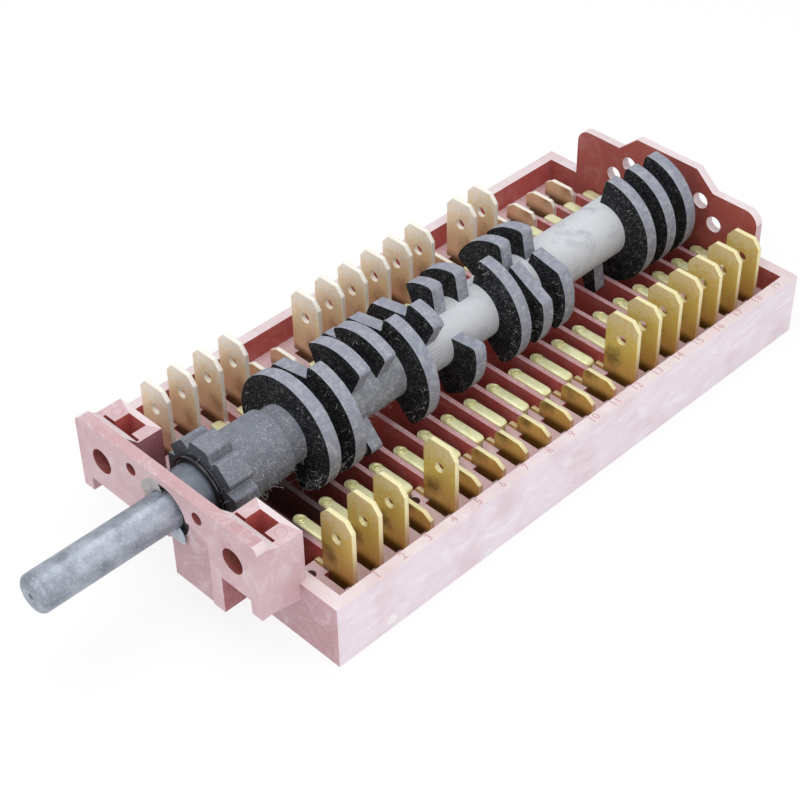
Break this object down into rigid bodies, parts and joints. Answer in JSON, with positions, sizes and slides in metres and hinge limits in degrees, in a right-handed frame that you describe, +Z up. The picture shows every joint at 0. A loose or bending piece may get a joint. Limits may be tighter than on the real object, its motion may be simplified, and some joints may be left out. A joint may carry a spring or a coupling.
{
  "type": "oven selector switch",
  "caption": "Open cam switch for an oven function knob: a tray with blade terminals along both sides, spring contacts, and a lobed camshaft on a round spindle.",
  "frame": {"origin": "on the shaft's axis, at the front face of the front plate that meets the panel", "axes": "+X across the switch to the right seen from the knob, +Y back along the shaft, +Z up, away from the tray's flat base"},
  "size_m": [0.0532, 0.1325, 0.026],
  "materials": {
    "housing_moulding": "dusty pink thermoset moulding, matt",
    "camshaft_moulding": "black moulding with pale dust on the outer faces",
    "spindle_steel": "dull grey steel",
    "terminal_brass": "stamped brass, lightly tarnished",
    "contact_brass": "bright stamped brass",
    "contact_silver": "rivet head, bright",
    "spring_bronze": "thin spring strip"
  },
  "bodies": {
    "body": {"housing": "housing_moulding", "rear_pivot": "spindle_steel", "detent_leaf": "spring_bronze", "bridge_springs": "spring_bronze", "fixed_contacts_right": "contact_brass", "fixed_contacts_left": "contact_brass", "contact_rivets_right": "contact_silver", "contact_rivets_left": "contact_silver", "terminal_right_01": "terminal_brass", "terminal_right_02": "terminal_brass", "terminal_right_03": "terminal_brass", "terminal_right_04": "terminal_brass", "terminal_right_05": "terminal_brass", "terminal_right_06": "terminal_brass", "terminal_right_07": "terminal_brass", "terminal_right_08": "terminal_brass", "terminal_right_09": "terminal_brass", "terminal_right_10": "terminal_brass", "terminal_right_11": "terminal_brass", "terminal_right_12": "terminal_brass", "terminal_right_13": "terminal_brass", "terminal_right_14": "terminal_brass", "terminal_right_15": "terminal_brass", "terminal_right_16": "terminal_brass", "terminal_right_17": "terminal_brass", "terminal_right_18": "terminal_brass", "terminal_right_19": "terminal_brass", "terminal_left_01": "terminal_brass", "terminal_left_02": "terminal_brass", "terminal_left_03": "terminal_brass", "terminal_left_04": "terminal_brass", "terminal_left_05": "terminal_brass", "terminal_left_06": "terminal_brass", "terminal_left_07": "terminal_brass", "terminal_left_08": "terminal_brass", "terminal_left_09": "terminal_brass", "terminal_left_10": "terminal_brass", "terminal_left_11": "terminal_brass", "terminal_left_12": "terminal_brass", "terminal_left_13": "terminal_brass", "terminal_left_14": "terminal_brass", "terminal_left_15": "terminal_brass", "terminal_left_16": "terminal_brass", "terminal_left_17": "terminal_brass", "terminal_left_18": "terminal_brass", "terminal_left_19": "terminal_brass"},
    "camshaft": {"camshaft": "camshaft_moulding", "spindle": "spindle_steel"}
  },
  "joints": [
    {"name": "shaft_turn", "type": "hinge", "parent": "body", "child": "camshaft", "pos_m": [0, 0, 0], "axis": [0, 1, 0], "continuous": true}
  ]
}
